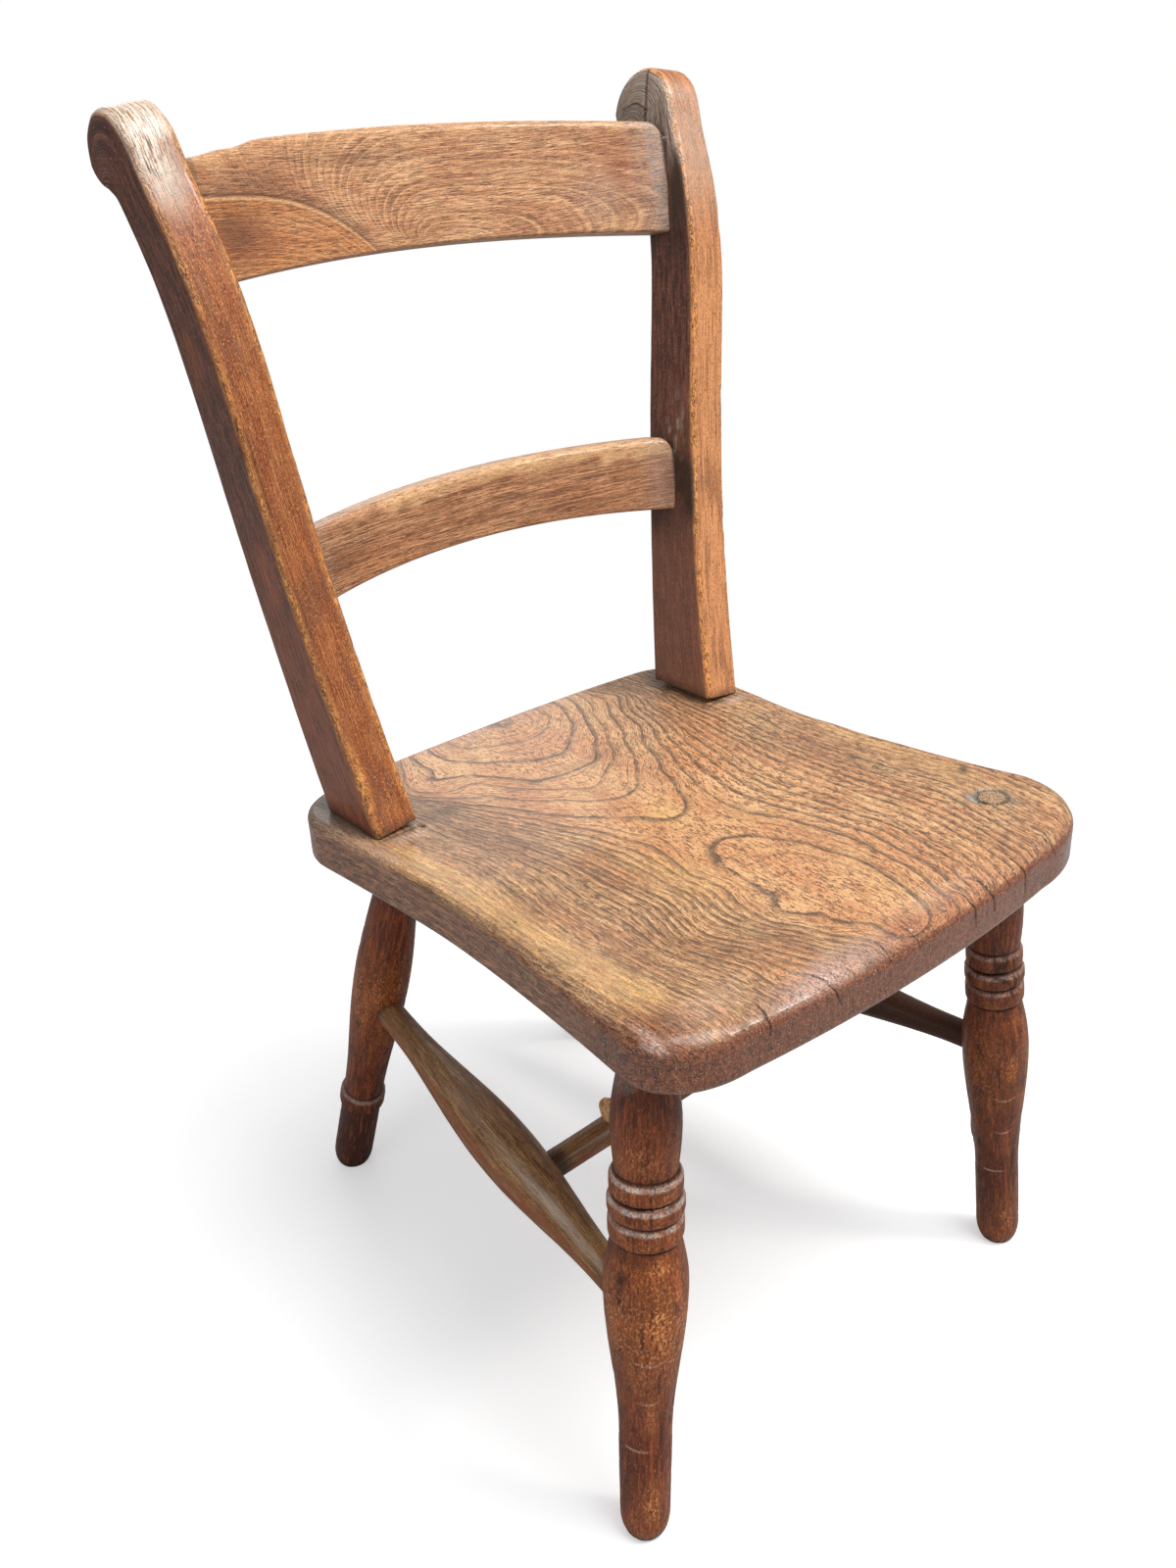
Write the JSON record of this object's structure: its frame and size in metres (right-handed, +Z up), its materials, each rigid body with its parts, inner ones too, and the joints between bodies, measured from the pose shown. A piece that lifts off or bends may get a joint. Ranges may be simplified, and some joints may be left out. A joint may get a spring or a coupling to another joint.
{
  "type": "child's wooden kitchen chair",
  "caption": "Child's wooden kitchen chair: plank seat with a waisted outline, splayed turned legs joined by an H of stretchers, and an open back of scrolled posts and bowed rails.",
  "frame": {"origin": "on the floor, midway between the chair's sides, and halfway between the seat's front edge and the back of the chair", "axes": "+Z up, -Y the way the sitter faces, +X towards the sitter's left"},
  "size_m": [0.3416, 0.3818, 0.6399],
  "materials": {
    "elm": "worn wax, satin",
    "turned_beech": "dark stain under worn varnish, satin",
    "stretcher_beech": "dark stain, dull satin",
    "post_beech": "crazed varnish, worn at the edges, satin",
    "rail_beech": "worn varnish, satin",
    "peg_wood": "bare wood, matt"
  },
  "bodies": {
    "root": {"seat": "elm", "front_leg_right": "turned_beech", "front_leg_left": "turned_beech", "rear_leg_right": "turned_beech", "rear_leg_left": "turned_beech", "side_stretcher_right": "stretcher_beech", "side_stretcher_left": "stretcher_beech", "cross_stretcher": "stretcher_beech", "stretcher_peg": "peg_wood", "back_post_right": "post_beech", "back_post_left": "post_beech", "post_wedges": "peg_wood", "top_rail": "rail_beech", "lower_rail": "rail_beech"}
  },
  "joints": []
}
